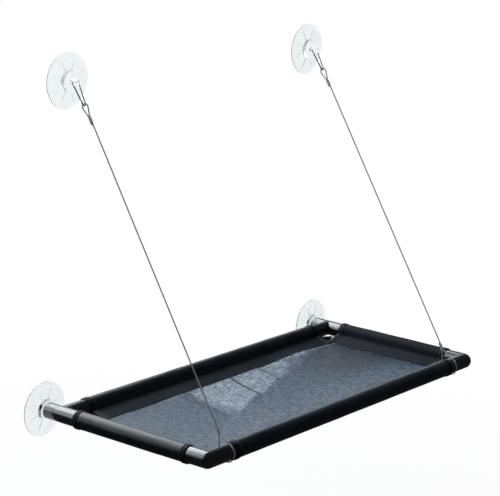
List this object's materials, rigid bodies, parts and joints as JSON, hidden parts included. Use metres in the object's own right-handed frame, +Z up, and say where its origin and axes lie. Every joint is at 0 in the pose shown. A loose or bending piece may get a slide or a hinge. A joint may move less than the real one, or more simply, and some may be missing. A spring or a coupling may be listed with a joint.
{
  "type": "window mounted cat perch",
  "caption": "Rectangular tube frame with a sewn mesh hammock, held to a window by suction cups and two wire ropes with hooks.",
  "frame": {"origin": "on the window glass, level with the rail axes and midway between the side rails", "axes": "+X to the right seen from the room, along the window; +Y through the glass, away from the room; +Z up"},
  "size_m": [0.663, 0.2971, 0.511],
  "materials": {
    "rail_tube": "black extruded PVC tube, glossy",
    "moulded_fitting": "black injection-moulded fitting, glossy",
    "floor_mesh": "open-weave PVC-coated polyester mesh, satin",
    "sleeve_fabric": "doubled PVC-coated polyester mesh, satin",
    "binding_tape": "woven black tape",
    "clear_cup": "clear soft moulded PVC, glossy",
    "wire_rope": "bare stranded steel wire rope",
    "hook_wire": "bright bent steel wire",
    "ferrule": "crimped sleeve"
  },
  "bodies": {
    "bed_frame": {"front_rail": "rail_tube", "rear_rail": "rail_tube", "left_rail": "rail_tube", "right_rail": "rail_tube", "front_left_elbow": "moulded_fitting", "front_right_elbow": "moulded_fitting", "rear_left_tee": "moulded_fitting", "rear_right_tee": "moulded_fitting", "hammock_floor": "floor_mesh", "front_sleeve": "sleeve_fabric", "rear_sleeve": "sleeve_fabric", "left_sleeve": "sleeve_fabric", "right_sleeve": "sleeve_fabric", "front_sleeve_bindings": "binding_tape", "rear_sleeve_bindings": "binding_tape", "left_sleeve_bindings": "binding_tape", "right_sleeve_bindings": "binding_tape"},
    "lower_left_cup": {"lower_left_cup": "clear_cup"},
    "lower_right_cup": {"lower_right_cup": "clear_cup"},
    "left_cable": {"left_cable": "wire_rope", "left_lower_ferrule": "ferrule", "left_upper_ferrule": "ferrule"},
    "left_hook": {"left_hook": "hook_wire"},
    "upper_left_cup": {"upper_left_cup": "clear_cup"},
    "right_cable": {"right_cable": "wire_rope", "right_lower_ferrule": "ferrule", "right_upper_ferrule": "ferrule"},
    "right_hook": {"right_hook": "hook_wire"},
    "upper_right_cup": {"upper_right_cup": "clear_cup"}
  },
  "joints": [
    {"name": "left_cable_swing", "type": "hinge", "parent": "bed_frame", "child": "left_cable", "pos_m": [-0.256, -0.284, 0], "axis": [1, 0, 0], "range_deg": [0, 212]},
    {"name": "left_hook_swing", "type": "hinge", "parent": "left_cable", "child": "left_hook", "pos_m": [-0.256, -0.03157, 0.40794], "axis": [1, 0, 0], "range_deg": [0, 90]},
    {"name": "upper_left_cup_swing", "type": "hinge", "parent": "left_hook", "child": "upper_left_cup", "pos_m": [-0.256, -0.0142, 0.436], "axis": [1, 0, 0], "range_deg": [0, 90]},
    {"name": "right_cable_swing", "type": "hinge", "parent": "bed_frame", "child": "right_cable", "pos_m": [0.256, -0.284, 0], "axis": [1, 0, 0], "range_deg": [0, 212]},
    {"name": "right_hook_swing", "type": "hinge", "parent": "right_cable", "child": "right_hook", "pos_m": [0.256, -0.03157, 0.40794], "axis": [1, 0, 0], "range_deg": [0, 90]},
    {"name": "upper_right_cup_swing", "type": "hinge", "parent": "right_hook", "child": "upper_right_cup", "pos_m": [0.256, -0.0142, 0.436], "axis": [1, 0, 0], "range_deg": [0, 90]},
    {"name": "lower_left_cup_turn", "type": "hinge", "parent": "bed_frame", "child": "lower_left_cup", "pos_m": [-0.294, -0.0095, 0], "axis": [0, 1, 0], "continuous": true},
    {"name": "lower_right_cup_turn", "type": "hinge", "parent": "bed_frame", "child": "lower_right_cup", "pos_m": [0.294, -0.0095, 0], "axis": [0, 1, 0], "continuous": true}
  ]
}
